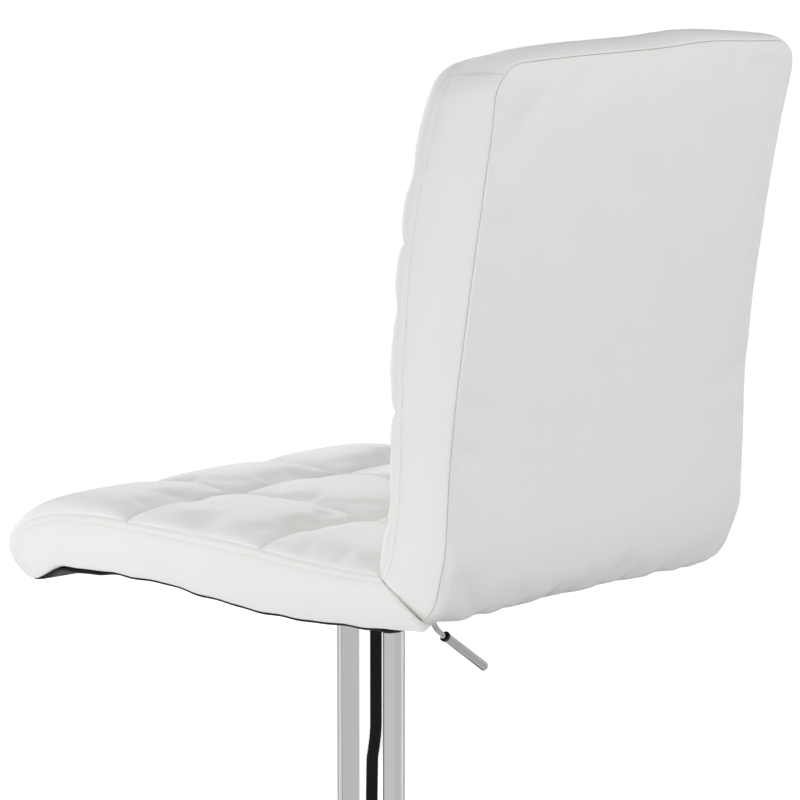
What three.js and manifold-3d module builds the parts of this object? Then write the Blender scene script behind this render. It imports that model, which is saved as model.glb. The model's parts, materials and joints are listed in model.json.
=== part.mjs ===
// Adjustable swivel bar stool: quilted one-piece seat and back on a gas lift, with a round
// weighted foot and a footrest hoop. Millimetres, +Z up, the sitter faces -Y. The origin is on
// the floor, on the swivel axis. The seat is modelled at its lowest height.
import * as THREE from 'three';
import { mergeVertices } from 'three/addons/utils/BufferGeometryUtils.js';
import Module from 'manifold-3d';

const wasm = await Module();
wasm.setup();

// driving dimensions
const gap = 0.3;               // clearance between pieces that touch
const footRadius = 205;
const rimHeight = 17;
const padThickness = 3;
const columnRadius = 25;
const columnWall = 1.5;
const columnTop = 478;
const sleeveRadius = 27.5;
const sleeveBottom = 252;
const tubeRadius = 14;
const rodRadius = 5;
const panFloor = 541.5;        // top face of the seat plate's pan
const sheet = 2.5;             // pressed steel thickness of the seat plate
const shellUnder = 570;        // underside of the plywood seat
const shellThickness = 12;
const shellHalf = 180;
const seatHalf = 199;
const backHalf = 196;
const panelHalf = 184;
const backTop = 997;
const leverHeight = 550.7;
const pivotX = -40;
const hoopHeight = 227;
const boltX = 75;
const boltY = 70;

const finishes = {
  leather: { color: 0xf1f1ef, roughness: 0.45, metalness: 0 },
  backLeather: { color: 0xe9e9e7, roughness: 0.48, metalness: 0 },
  chrome: { color: 0xd9dbde, roughness: 0.08, metalness: 1 },
  steel: { color: 0x9a9da1, roughness: 0.35, metalness: 1 },
  blackSteel: { color: 0x1c1c1d, roughness: 0.5, metalness: 0 },
  castIron: { color: 0x3a3a3c, roughness: 0.8, metalness: 0 },
  rubber: { color: 0x161616, roughness: 0.85, metalness: 0 },
  nylon: { color: 0x26272a, roughness: 0.5, metalness: 0 },
  plywood: { color: 0xc9a877, roughness: 0.7, metalness: 0 },
  cloth: { color: 0x141414, roughness: 0.95, metalness: 0 },
};

const stool = new THREE.Group();

// ---- mesh helpers ----

// One closed, outward-facing solid from any three.js geometry.
function closed(source) {
  const bare = source.index ? source.toNonIndexed() : source.clone();
  bare.deleteAttribute('normal');
  bare.deleteAttribute('uv');
  const merged = mergeVertices(bare, 1e-3);
  const place = merged.getAttribute('position');
  const kept = [];
  let volume = 0;
  const a = new THREE.Vector3();
  const b = new THREE.Vector3();
  const c = new THREE.Vector3();
  for (let i = 0; i < merged.index.count; i += 3) {
    const [p, q, r] = [0, 1, 2].map((k) => merged.index.getX(i + k));
    if (p === q || q === r || p === r) continue;
    kept.push([p, q, r]);
    a.fromBufferAttribute(place, p);
    b.fromBufferAttribute(place, q);
    c.fromBufferAttribute(place, r);
    volume += a.dot(b.cross(c));
  }
  const order = volume < 0 ? kept.map(([p, q, r]) => [p, r, q]) : kept;
  merged.setIndex(order.flat());
  return merged;
}

function toManifold(source) {
  const solid = closed(source);
  return new wasm.Manifold(new wasm.Mesh({
    numProp: 3,
    vertProperties: new Float32Array(solid.getAttribute('position').array),
    triVerts: new Uint32Array(solid.index.array),
  }));
}

function fromManifold(body) {
  const mesh = body.getMesh();
  const result = new THREE.BufferGeometry();
  result.setAttribute('position', new THREE.BufferAttribute(mesh.vertProperties, 3));
  result.setIndex(new THREE.BufferAttribute(mesh.triVerts, 1));
  return result;
}

// The first solid with others joined to it, cut from it or kept in common with it.
function combine(first, { join = [], cut = [], keep = [] }) {
  let body = toManifold(first);
  for (const other of join) body = body.add(toManifold(other));
  for (const other of keep) body = body.intersect(toManifold(other));
  for (const other of cut) body = body.subtract(toManifold(other));
  return fromManifold(body);
}

function add(name, geometry, finish) {
  const material = new THREE.MeshStandardMaterial(finishes[finish]);
  const mesh = new THREE.Mesh(closed(geometry), material);
  mesh.name = name;
  stool.add(mesh);
  return mesh;
}

// A turned solid about the Z axis from [radius, height] points.
function turned(points, sides = 28) {
  const profile = points.map(([r, z]) => new THREE.Vector2(r, z));
  return new THREE.LatheGeometry(profile, sides).rotateX(Math.PI / 2);
}

function ring(inner, outer, low, high, sides = 28) {
  return turned([[inner, low], [outer, low], [outer, high], [inner, high], [inner, low]], sides);
}

function disc(radius, low, high, sides = 28) {
  return turned([[0, low], [radius, low], [radius, high], [0, high]], sides);
}

function box(x0, x1, y0, y1, z0, z1) {
  return new THREE.BoxGeometry(x1 - x0, y1 - y0, z1 - z0)
    .translate((x0 + x1) / 2, (y0 + y1) / 2, (z0 + z1) / 2);
}

// An outline in the Y-Z plane, extruded along X and centred on it.
function acrossX(outline, halfWidth, curveSegments = 2) {
  const solid = new THREE.ExtrudeGeometry(outline, {
    depth: 2 * halfWidth, bevelEnabled: false, steps: 1, curveSegments,
  });
  const turn = new THREE.Matrix4().makeBasis(
    new THREE.Vector3(0, 1, 0), new THREE.Vector3(0, 0, 1), new THREE.Vector3(1, 0, 0));
  return solid.applyMatrix4(turn).translate(-halfWidth, 0, 0);
}

// A rectangle with rounded corners, upright along Z.
function roundedPlate(halfX, halfY, corner, low, high, middleY = 0) {
  const [x, y, k] = [halfX, halfY, corner];
  const outline = new THREE.Shape();
  outline.moveTo(-x + k, -y);
  outline.lineTo(x - k, -y);
  outline.absarc(x - k, -y + k, k, -Math.PI / 2, 0);
  outline.lineTo(x, y - k);
  outline.absarc(x - k, y - k, k, 0, Math.PI / 2);
  outline.lineTo(-x + k, y);
  outline.absarc(-x + k, y - k, k, Math.PI / 2, Math.PI);
  outline.lineTo(-x, -y + k);
  outline.absarc(-x + k, -y + k, k, Math.PI, 1.5 * Math.PI);
  return new THREE.ExtrudeGeometry(outline, {
    depth: high - low, bevelEnabled: false, curveSegments: 4,
  }).translate(0, middleY, low);
}

function roundBar(path, radius, steps, sides = 12) {
  const section = new THREE.Shape();
  section.absarc(0, 0, radius, 0, 2 * Math.PI);
  return new THREE.ExtrudeGeometry(section, {
    extrudePath: path, steps, bevelEnabled: false, curveSegments: sides,
  });
}

function hexPrism(acrossCorners, low, high) {
  return turned([[0, low], [acrossCorners, low], [acrossCorners, high], [0, high]], 6);
}

// ---- foot and column ----

function dishHeight(radius) {
  return rimHeight + 55 * Math.exp(-(radius - 27) / 34);
}

function makeFoot() {
  add('floor_pad', disc(footRadius - 5, 0, padThickness, 40), 'rubber');

  const low = padThickness + gap;
  const radii = [25.4, 30, 37, 47, 62, 85, 125, 192];
  const outer = radii.map((r) => [r, dishHeight(r)]);
  const wall = (r) => 2 * Math.hypot(1, (dishHeight(r) - rimHeight) / 34);
  const inner = radii.map((r) => [r, dishHeight(r) - wall(r)]).reverse();
  const rim = [[201, 15], [footRadius, 9], [footRadius, low]];
  const rimInside = [[footRadius - 2, low], [footRadius - 3, 11]];
  add('base_dish', turned([...outer, ...rim, ...rimInside, ...inner, outer[0]], 40), 'chrome');

  const web = rimHeight - 1;
  add('weight_plate', turned([[5.6, 11], [42, 11], [42, low + gap], [188, low + gap],
    [188, 11.5], [50, 11.5], [50, web], [5.6, web], [5.6, 11]], 32), 'castIron');
  add('base_washer', ring(5.3, 14, 9.2, 10.7, 24), 'steel');
  const bolt = combine(hexPrism(9, low + gap, 8.9), { join: [disc(4.9, 5, 27, 16)] });
  add('base_bolt', bolt, 'steel');
  const hubTop = dishHeight(25.6);
  add('column_trim_ring', turned([[25.4, hubTop + 1], [33, 64.4], [33, 68], [28.5, 84],
    [25.4, 84], [25.4, hubTop + 1]], 32), 'chrome');
}

function makeColumn() {
  const bottom = rimHeight - 1 + gap;
  const bore = columnRadius - columnWall;
  const fit = bore - gap;
  add('column_tube', ring(bore, columnRadius, bottom, columnTop, 32), 'chrome');
  add('column_end_plate', ring(5.2, fit, bottom, bottom + 8, 32), 'steel');
  add('rod_support', ring(rodRadius + gap, fit, 60, 64, 32), 'steel');
  add('lower_race', ring(rodRadius + gap, 13, 64.3, 66, 24), 'steel');
  add('ball_cage', ring(6.5, 12, 66.3, 69.3, 24), 'steel');
  add('guide_bush', turned([[tubeRadius + gap, 428], [fit, 428], [fit, columnTop + gap],
    [columnRadius, columnTop + gap], [columnRadius, columnTop + 3],
    [tubeRadius + gap, columnTop + 3], [tubeRadius + gap, 428]], 32), 'nylon');
}

function makeFootrest() {
  const collarRadius = 29.5;
  const hole = (z) => new THREE.CylinderGeometry(3.3, 3.3, 20, 12).translate(0, 30, z);
  const screwHeights = [216, 238];
  const collar = combine(ring(columnRadius + gap, collarRadius, 207, 247, 32),
    { cut: screwHeights.map(hole) });
  add('footrest_collar', collar, 'chrome');
  screwHeights.forEach((z, i) => {
    const screw = turned([[0, columnRadius + 2 * gap], [3, columnRadius + 2 * gap],
      [3, collarRadius + 2 * gap], [4.8, collarRadius + 2 * gap], [4.8, 34.6], [0, 34.6]], 16);
    screw.rotateX(-Math.PI / 2).translate(0, 0, z);
    add(`footrest_screw_${i + 1}`, screw, 'steel');
  });
  const half = [[14, -24], [26, -54], [72, -84], [117, -128], [126, -182], [88, -236]];
  const route = [...half, [0, -255], ...half.map(([x, y]) => [-x, y]).reverse()];
  const path = new THREE.CatmullRomCurve3(
    route.map(([x, y]) => new THREE.Vector3(x, y, hoopHeight)), false, 'centripetal');
  const hoop = combine(roundBar(path, 11, 40, 5), { cut: [disc(collarRadius + gap, 200, 255, 32)] });
  add('footrest_hoop', hoop, 'chrome');
}

// ---- gas lift ----

function makeRod() {
  add('piston_rod', turned([[0, 52], [rodRadius, 52], [rodRadius, 71.9], [7.5, 71.9], [7.5, 75],
    [rodRadius, 75], [rodRadius, 345], [0, 345]], 24), 'steel');
  add('rod_clip', ring(rodRadius + gap, 9, 58, 59.6, 24), 'steel');
  add('upper_race', ring(rodRadius + gap, 13, 69.6, 71.6, 24), 'steel');
  add('piston', ring(rodRadius + gap, 11.6, 321, 341, 24), 'nylon');
}

function makePressureTube() {
  const inner = tubeRadius - 2;
  const shoulder = 498;
  add('pressure_tube', turned([[inner, 92], [tubeRadius, 92], [tubeRadius, shoulder],
    [13, panFloor], [3.3, panFloor], [3.3, 536.5], [inner - 1, 536.5], [inner, 530],
    [inner, 92]], 28), 'steel');
  add('rod_guide', ring(rodRadius + gap, inner - gap, 93, 108, 24), 'nylon');
  const pinTop = leverHeight - 2.5 - 0.5;
  add('release_pin', turned([[0, 522], [5, 522], [5, 525], [3, 525], [3, pinTop], [0, pinTop]], 16),
    'steel');
  add('taper_socket', turned([[tubeRadius + gap, shoulder], [19, shoulder], [19, panFloor],
    [13 + gap, panFloor], [tubeRadius + gap, shoulder]], 28), 'blackSteel');
  add('cover_sleeve', ring(sleeveRadius - 1.2, sleeveRadius, sleeveBottom, 538.7, 36), 'chrome');
  add('sleeve_ring', ring(19 + gap, sleeveRadius - 1.5, 515, 535), 'nylon');
}

// ---- seat plate and release lever ----

function corners(make) {
  return [[1, 1], [1, -1], [-1, 1], [-1, -1]].map(([x, y], i) => make(x * boltX, y * boltY, i + 1));
}

function makeSeatPlate() {
  const top = shellUnder - gap;
  const holes = corners((x, y) => disc(3.4, top - 5, top + 1, 16).translate(x, y, 0));
  const plate = combine(roundedPlate(60, 60, 10, panFloor - sheet, top), {
    join: [roundedPlate(92, 86, 12, top - sheet, top)],
    cut: [roundedPlate(57.5, 57.5, 8, panFloor, top + 1), disc(19 + gap, 530, 545),
      box(-64, -50, -5, 5, 545, 560), ...holes],
  });
  add('seat_plate', plate, 'blackSteel');
  corners((x, y, i) => {
    const under = top - sheet - gap;
    const bolt = combine(hexPrism(6, under - 5, under), { join: [disc(2.9, under - 1, 581.5, 12)] });
    add(`plate_bolt_${i}`, bolt.translate(x, y, 0), 'steel');
    const nut = turned([[3.2, 573], [3.9, 573], [3.9, 582.3], [9, 582.3], [9, 583.8],
      [3.2, 583.8], [3.2, 573]], 16);
    add(`tee_nut_${i}`, nut.translate(x, y, 0), 'steel');
  });
}

function alongY(geometry, x, z) {
  return geometry.rotateX(Math.PI / 2).translate(x, 0, z);
}

function makeLever() {
  const low = panFloor + gap;
  const pivotHole = () => alongY(disc(2.3, -12, 12, 16), pivotX, leverHeight);
  const bracket = combine(box(-51, -29, -7.5, 7.5, low, low + 2), {
    join: [box(-47, -33, -7.5, -5.5, low, 556), box(-47, -33, 5.5, 7.5, low, 556)],
    cut: [pivotHole()],
  });
  add('lever_bracket', bracket, 'blackSteel');
  add('pivot_pin', alongY(disc(2, -9, 9, 16), pivotX, leverHeight), 'steel');

  const route = [[6, leverHeight], [pivotX, leverHeight], [-58, leverHeight], [-68, 546],
    [-74, 532], [-77, 512], [-82, 499], [-98, 486.5], [-148, 454.7]];
  const path = new THREE.CatmullRomCurve3(
    route.map(([x, z]) => new THREE.Vector3(x, 0, z)), false, 'centripetal');
  const boss = alongY(disc(5, -4.5, 4.5, 16), pivotX, leverHeight);
  add('lever_rod', combine(roundBar(path, 2.5, 36, 4), { join: [boss], cut: [pivotHole()] }), 'chrome');

  // grip parts are turned about Z and laid along the rod's straight end
  const start = new THREE.Vector3(-98, 0, 486.5);
  const end = new THREE.Vector3(-151, 0, 452.8);
  const along = end.clone().sub(start);
  const length = along.length();
  const lay = (geometry) => geometry
    .applyQuaternion(new THREE.Quaternion().setFromUnitVectors(
      new THREE.Vector3(0, 0, 1), along.clone().normalize()))
    .translate(start.x, start.y, start.z);
  add('lever_grip', lay(turned([[2.9, 2], [4.1, 2], [4.1, length - 1], [3.2, length],
    [0, length], [0, length - 2], [2.9, length - 2], [2.9, 2]], 20)), 'chrome');
  add('lever_ring', lay(ring(2.9, 4.5, 0, 1.6, 20)), 'nylon');
}

// ---- seat shell and upholstery ----

// The rear face of the upholstered back as [y, z], lowest first.
const rearLine = [[223, 600], [227, 640], [234, 735], [250, 840], [266, 925], [275, 972]];
const underEdge = [[-165, 561], [-148, 566], [-110, 569], [-60, 568.6], [-20, 566], [30, 561.5],
  [75, 557.5], [135, 556], [188, 559]];

const toVectors = (points) => points.map(([y, z]) => new THREE.Vector2(y, z));
const shifted = (points, dy, dz = 0) => points.map(([y, z]) => [y + dy, z + dz]);

// The bent plywood's outline, grown by a margin on every side.
function shellOutline(margin) {
  const rear = rearLine.slice(1, -1).concat([[271, 955]]);
  const outer = shifted(rear, -8.5 + margin);
  const inner = shifted(rear, -8.5 - shellThickness - margin).reverse();
  const under = shellUnder - margin;
  const upper = shellUnder + shellThickness + margin;
  const outline = new THREE.Shape();
  outline.moveTo(-176 - margin, under);
  outline.lineTo(146, under);
  outline.quadraticCurveTo(outer[0][0] - 4, under, outer[0][0], outer[0][1]);
  outline.splineThru(toVectors(outer.slice(1)));
  outline.lineTo(inner[0][0], inner[0][1] + margin);
  outline.splineThru(toVectors(inner.slice(1)));
  outline.quadraticCurveTo(inner.at(-1)[0] - 4, upper, 146, upper);
  outline.lineTo(-176 - margin, upper);
  return outline;
}

function seatOutline() {
  const outline = new THREE.Shape();
  outline.moveTo(-165, 561);
  outline.splineThru(toVectors([[-186, 557], [-204, 556], [-223, 562], [-234, 578], [-231, 594],
    [-212, 609], [-165, 622], [-105, 628], [-20, 624], [60, 618], [130, 612], [160, 607]]));
  outline.lineTo(170, 599);
  outline.lineTo(204, 562);
  outline.lineTo(188, 559);
  outline.splineThru(toVectors(underEdge.slice(0, -1).reverse()));
  return outline;
}

function backOutline() {
  const front = [[168, 612], [174, 632], [180, 662], [184, 703], [186, 763], [189, 823],
    [193, 868], [201, 910], [213, 948], [226, 974], [240, 989]];
  const outline = new THREE.Shape();
  outline.moveTo(205, 563.5);
  outline.lineTo(171, 600.5);
  outline.splineThru(toVectors(front));
  outline.quadraticCurveTo(249, backTop, 258, backTop);
  outline.quadraticCurveTo(270, backTop - 2, 275, 972);
  outline.splineThru(toVectors([...rearLine].reverse().slice(1)));
  outline.quadraticCurveTo(221, 572, 205, 563.5);
  return outline;
}

// The space that the rear panel fills, from the shell outwards.
function panelOutline(margin) {
  const outline = new THREE.Shape();
  const inner = shifted(rearLine.slice(1, -1), -8.5 + gap - margin);
  outline.moveTo(192 - margin, 563.5 - 10 * margin);
  outline.lineTo(192 - margin, 586);
  outline.lineTo(206 - margin, 603);
  outline.splineThru(toVectors([...inner, [262 - margin, 966 + margin]]));
  outline.lineTo(275.5 + 20 * margin, 966 + margin);
  outline.splineThru(toVectors(shifted([...rearLine].reverse().slice(1), 20 * margin)));
  outline.quadraticCurveTo(221 + 20 * margin, 572 - 20 * margin, 205, 563.5 - 20 * margin);
  return outline;
}

function makeShell() {
  const holes = corners((x, y) => disc(4.2, 560, 590, 16).translate(x, y, 0));
  const corner = 24;
  const front = roundedPlate(shellHalf, 240, corner, 500, 1100, 64);
  add('seat_shell', combine(acrossX(shellOutline(0), shellHalf), { keep: [front], cut: holes }),
    'plywood');
}

function makeUpholstery() {
  const shellRoom = () => acrossX(shellOutline(gap), shellHalf + gap);
  const panelRoom = () => acrossX(panelOutline(gap), panelHalf + gap);
  const seat = combine(acrossX(seatOutline(), seatHalf), {
    keep: [roundedPlate(seatHalf, 260, 46, 500, 700, 50.5).translate(0, 25, 0)],
    cut: [shellRoom(), panelRoom(), box(-shellHalf, shellHalf, -178, 215, 540, 571),
      box(-100, 100, -95, 95, 580, 584.2)],
  });
  add('seat_cushion', seat, 'leather');

  const frontView = new THREE.Matrix4().makeBasis(
    new THREE.Vector3(1, 0, 0), new THREE.Vector3(0, 0, 1), new THREE.Vector3(0, -1, 0));
  const window = roundedPlate(backHalf, 300, 28, -400, 0, backTop - 300);
  const back = combine(acrossX(backOutline(), backHalf), {
    keep: [window.applyMatrix4(frontView)],
    cut: [shellRoom(), panelRoom(), box(-shellHalf, shellHalf, 140, 200, 540, 600)],
  });
  add('back_cushion', back, 'leather');
  const panel = combine(acrossX(panelOutline(0), panelHalf), { cut: [shellRoom()] });
  add('back_panel', panel, 'backLeather');
}

function makeDustCover() {
  const upper = shifted(underEdge, 0, -gap);
  const lower = shifted(underEdge, 0, -gap - 1.2).reverse();
  const outline = new THREE.Shape();
  outline.moveTo(...upper[0]);
  outline.splineThru(toVectors(upper.slice(1)));
  outline.lineTo(...lower[0]);
  outline.splineThru(toVectors(lower.slice(1)));
  add('dust_cover', combine(acrossX(outline, 188, 4), { cut: [box(-98, 98, -92, 92, 540, 580)] }),
    'cloth');
}

makeFoot();
makeColumn();
makeFootrest();
makeRod();
makePressureTube();
makeSeatPlate();
makeLever();
makeShell();
makeUpholstery();
makeDustCover();

export default stool;
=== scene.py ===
import json
import math
import bmesh
import bpy
import numpy as np
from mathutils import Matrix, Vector
from mathutils.bvhtree import BVHTree


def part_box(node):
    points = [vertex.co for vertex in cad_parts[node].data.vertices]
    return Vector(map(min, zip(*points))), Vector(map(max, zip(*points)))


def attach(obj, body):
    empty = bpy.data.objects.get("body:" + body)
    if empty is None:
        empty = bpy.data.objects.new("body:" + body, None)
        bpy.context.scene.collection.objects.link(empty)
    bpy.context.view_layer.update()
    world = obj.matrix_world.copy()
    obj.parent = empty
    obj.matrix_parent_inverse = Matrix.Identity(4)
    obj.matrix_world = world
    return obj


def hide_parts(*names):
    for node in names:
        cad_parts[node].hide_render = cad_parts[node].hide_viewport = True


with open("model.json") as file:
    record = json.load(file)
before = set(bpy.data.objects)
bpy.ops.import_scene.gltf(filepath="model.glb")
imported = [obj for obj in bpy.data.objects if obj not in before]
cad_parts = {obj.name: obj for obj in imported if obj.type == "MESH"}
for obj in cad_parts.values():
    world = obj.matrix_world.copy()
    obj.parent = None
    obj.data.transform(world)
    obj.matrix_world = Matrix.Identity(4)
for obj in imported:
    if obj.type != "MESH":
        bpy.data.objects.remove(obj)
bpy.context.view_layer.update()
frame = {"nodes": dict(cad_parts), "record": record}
scene = bpy.context.scene
mm = 0.001
print("stage: frame loaded")


def boxMm(node):
    low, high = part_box(node)
    return np.array(low) / mm, np.array(high) / mm


def srgb(code, dimmed=1.0):
    # a hex colour as linear light
    parts = [int(code[i:i + 2], 16) / 255 for i in (1, 3, 5)]
    linear = [c / 12.92 if c <= 0.04045 else ((c + 0.055) / 1.055) ** 2.4 for c in parts]
    return tuple(c * dimmed for c in linear) + (1,)


def addNode(tree, kind, links=None, **settings):
    # a node, its settings, and its inputs as values or as sockets to link from
    node = tree.nodes.new(kind)
    for key, value in settings.items():
        setattr(node, key, value)
    for key, value in (links or {}).items():
        if isinstance(value, bpy.types.NodeSocket):
            tree.links.new(value, node.inputs[key])
        else:
            node.inputs[key].default_value = value
    return node


def makeFinish(name, finish):
    # textures on the piece's own coordinates; the bumps they stack; what roughness and colour follow
    material = bpy.data.materials.new(name)
    material.use_nodes = True
    material.diffuse_color = srgb(finish["color"])
    tree = material.node_tree
    shader = tree.nodes["Principled BSDF"]
    given = {"Base Color": srgb(finish["color"]), "Roughness": finish["roughness"], **finish["inputs"]}
    for key, value in given.items():
        shader.inputs[key].default_value = value
    textures = {}
    for label, (kind, size, stretch, inputs) in finish["textures"].items():
        place = addNode(tree, "ShaderNodeTexCoord").outputs["Object"]
        points = addNode(tree, "ShaderNodeMapping", {0: place, "Scale": stretch}).outputs[0]
        textures[label] = addNode(tree, "ShaderNodeTex" + kind,
                                  {0: points, "Scale": 1 / (size * mm), **inputs}).outputs[0]
    normal = {}
    for label, strength, depth in finish["bumps"]:
        normal = {"Normal": addNode(tree, "ShaderNodeBump", {
            "Height": textures[label], "Strength": strength, "Distance": depth * mm, **normal}).outputs[0]}
    for key, output in normal.items():
        tree.links.new(output, shader.inputs[key])
    if "rough" in finish:
        labels, least, most = finish["rough"]
        follow = textures[labels[0]]
        for label in labels[1:]:
            follow = addNode(tree, "ShaderNodeMath", {0: follow, 1: textures[label]},
                             operation="MULTIPLY").outputs[0]
        spanned = addNode(tree, "ShaderNodeMapRange", {"Value": follow, "To Min": least, "To Max": most})
        tree.links.new(spanned.outputs[0], shader.inputs["Roughness"])
    if "shades" in finish:
        label, first, second = finish["shades"]
        mixed = addNode(tree, "ShaderNodeMix", {0: textures[label], 6: first, 7: second}, data_type="RGBA")
        tree.links.new(mixed.outputs[2], shader.inputs["Base Color"])
    return material


# a texture is its kind, grain size in millimetres, stretch and inputs; a bump is a texture, its
# strength and its depth in millimetres
even = (1, 1, 1)
leatherWhite = "#f1f1ef"
buffedChrome = {
    "color": "#e4e5e7", "roughness": 0.04, "inputs": {"Metallic": 1.0},
    "textures": {"marks": ("Noise", 0.9, (1, 1, 0.04), {"Detail": 3.0}),
                 "haze": ("Noise", 60, even, {"Detail": 2.0})},
    "bumps": [("marks", 0.02, 0.02)], "rough": (("marks", "haze"), 0.02, 0.07)}

finishes = {
    # PVC coated cloth, embossed with a fine pebble grain: soft broad highlights, faint mottling
    "whitePvcLeatherEmbossed": {
        "color": leatherWhite, "roughness": 0.42,
        "inputs": {"IOR": 1.5, "Coat Weight": 0.08, "Coat Roughness": 0.35},
        "textures": {"pebbles": ("Voronoi", 1.1, even, {}), "pores": ("Noise", 0.6, even, {"Detail": 2.0}),
                     "hand": ("Noise", 38, even, {"Detail": 3.0, "Roughness": 0.6})},
        "bumps": [("pebbles", 0.22, 0.12), ("pores", 0.12, 0.05), ("hand", 0.25, 0.5)],
        "rough": (("hand",), 0.36, 0.5),
        "shades": ("hand", srgb(leatherWhite, 0.975), srgb(leatherWhite))},
    # bright nickel-chrome plate on buffed steel: mirror with hairline polishing marks
    "chromePlateBuffed": buffedChrome,
    # the same plate on barrel finished wire: greyer, softened reflections
    "chromePlateBarrelFinished": {**buffedChrome, "color": "#c6c7c8",
                                  "rough": (("marks", "haze"), 0.18, 0.23)},
    # bright zinc plated steel: satin, faint blue-yellow passivation and grain
    "zincPlatedSteel": {
        "color": "#a9abad", "roughness": 0.38, "inputs": {"Metallic": 1.0},
        "textures": {"grain": ("Noise", 1.5, (1, 1, 0.2), {"Detail": 4.0})},
        "bumps": [("grain", 0.15, 0.05)], "rough": (("grain",), 0.28, 0.5),
        "shades": ("grain", srgb("#9ea3a8"), srgb("#b9b5a6"))},
    # powder coated pressed steel: orange-peel skin, soft sheen
    "blackPowderCoatedSteel": {
        "color": "#1b1b1c", "roughness": 0.5, "inputs": {"IOR": 1.5},
        "textures": {"peel": ("Noise", 0.8, even, {"Detail": 1.0})},
        "bumps": [("peel", 0.35, 0.08)], "rough": (("peel",), 0.42, 0.6)},
    # sand cast, primed: coarse pitted skin
    "primedCastIron": {
        "color": "#3c3c3e", "roughness": 0.85, "inputs": {"IOR": 1.5},
        "textures": {"sand": ("Noise", 1.8, even, {"Detail": 6.0})},
        "bumps": [("sand", 0.8, 0.3)], "rough": (("sand",), 0.7, 0.95)},
    # injection moulded, black: smooth with a spark-eroded micro texture
    "mouldedBlackNylon": {
        "color": "#242427", "roughness": 0.42, "inputs": {"IOR": 1.53},
        "textures": {"spark": ("Noise", 0.35, even, {"Detail": 2.0})},
        "bumps": [("spark", 0.2, 0.03)], "rough": (("spark",), 0.34, 0.52)},
    # calendered rubber sheet with a cloth impression: matt, greyish at the highlights
    "calenderedBlackRubber": {
        "color": "#1b1b1c", "roughness": 0.8, "inputs": {"IOR": 1.52},
        "textures": {"weave": ("Voronoi", 1.4, even, {})},
        "bumps": [("weave", 0.4, 0.1)], "rough": (("weave",), 0.7, 0.9)},
    # spun-bonded polypropylene lining: dull black felt with pressed dots
    "spunBondedBlackLining": {
        "color": "#131313", "roughness": 0.95, "inputs": {"IOR": 1.45, "Sheen Weight": 0.15},
        "textures": {"dots": ("Voronoi", 1.6, even, {"Randomness": 0.15}),
                     "fibres": ("Noise", 0.5, even, {"Detail": 4.0})},
        "bumps": [("dots", 0.6, 0.15), ("fibres", 0.3, 0.08)]},
    # rotary cut poplar veneer, unsanded: long soft grain
    "rotaryCutPlywood": {
        "color": "#c9a774", "roughness": 0.65, "inputs": {"IOR": 1.5},
        "textures": {"grain": ("Noise", 3, (1, 0.08, 0.08), {"Detail": 6.0, "Distortion": 0.4})},
        "bumps": [("grain", 0.3, 0.15)], "shades": ("grain", srgb("#b48c58"), srgb("#d9bb8c"))},
    # twisted polyester thread, matt: its colour is set slightly darker than the cover as painted shade for
    # the shadowed stitch dashes
    "twistedWhiteThreadPaintedShade": {
        "color": "#e2e2df", "roughness": 0.7, "inputs": {"IOR": 1.5},
        "textures": {"twist": ("Wave", 1.2, even, {"Distortion": 1.0})},
        "bumps": [("twist", 0.5, 0.08)]},
}
made = {name: makeFinish(name, finish) for name, finish in finishes.items()}
whiteLeather, thread = made["whitePvcLeatherEmbossed"], made["twistedWhiteThreadPaintedShade"]
chrome, leverChrome = made["chromePlateBuffed"], made["chromePlateBarrelFinished"]
nylon, liningBlack = made["mouldedBlackNylon"], made["spunBondedBlackLining"]
slotMaterials = {
    "white_leather": whiteLeather, "polished_chrome": chrome, "zinc_steel": made["zincPlatedSteel"],
    "black_steel": made["blackPowderCoatedSteel"], "cast_weight": made["primedCastIron"],
    "black_rubber": made["calenderedBlackRubber"], "black_nylon": nylon,
    "bent_plywood": made["rotaryCutPlywood"], "black_cloth": liningBlack,
}
for part in frame["record"]["subparts"]:
    mesh = frame["nodes"][part["node"]].data
    mesh.materials.clear()
    mesh.materials.append(slotMaterials[part["material_slot"]])
print("stage: materials")


def meshObject(name, points, faces, material, sharpDegrees=None):
    # points in millimetres
    mesh = bpy.data.meshes.new(name)
    mesh.from_pydata((np.asarray(points, float) * mm).tolist(), [], faces)
    mesh.validate()
    mesh.materials.append(material)
    mesh.polygons.foreach_set("use_smooth", [True] * len(mesh.polygons))
    if sharpDegrees:
        mesh.set_sharp_from_angle(angle=math.radians(sharpDegrees))
    made = bpy.data.objects.new(name, mesh)
    scene.collection.objects.link(made)
    return made


def finishPiece(piece, body, slotName, *nodes):
    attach(piece, body)
    if nodes:
        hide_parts(*nodes)


def between(t, start, end, first, second):
    return (end - t) / (end - start) * first + (t - start) / (end - start) * second


def evenLine(points, count):
    # a centripetal Catmull-Rom curve through the points, as evenly spaced samples
    p = np.asarray(points, float)
    p = np.vstack([2 * p[0] - p[1], p, 2 * p[-1] - p[-2]])
    samples = []
    for i in range(1, len(p) - 2):
        knots = [0.0]
        for k in range(3):
            knots.append(knots[-1] + max(np.linalg.norm(p[i + k] - p[i + k - 1]), 1e-9) ** 0.5)
        for t in np.linspace(knots[1], knots[2], 24, endpoint=False):
            level = list(p[i - 1:i + 3])
            for span in (1, 2):
                level = [between(t, knots[k], knots[k + span], level[k], level[k + 1])
                         for k in range(4 - span)]
            samples.append(between(t, knots[1], knots[2], *level))
    samples.append(p[-2])
    samples = np.array(samples)
    length = np.r_[0, np.cumsum(np.linalg.norm(np.diff(samples, axis=0), axis=1))]
    return resampled(samples, length, np.linspace(0, length[-1], count))


def alongLine(line, fraction):
    # the point of an even line at a fraction of its length, for arrays of fractions
    place = np.clip(fraction, 0, 1) * (len(line) - 1)
    return np.stack([np.interp(place, np.arange(len(line)), column) for column in line.T], -1)


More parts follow.
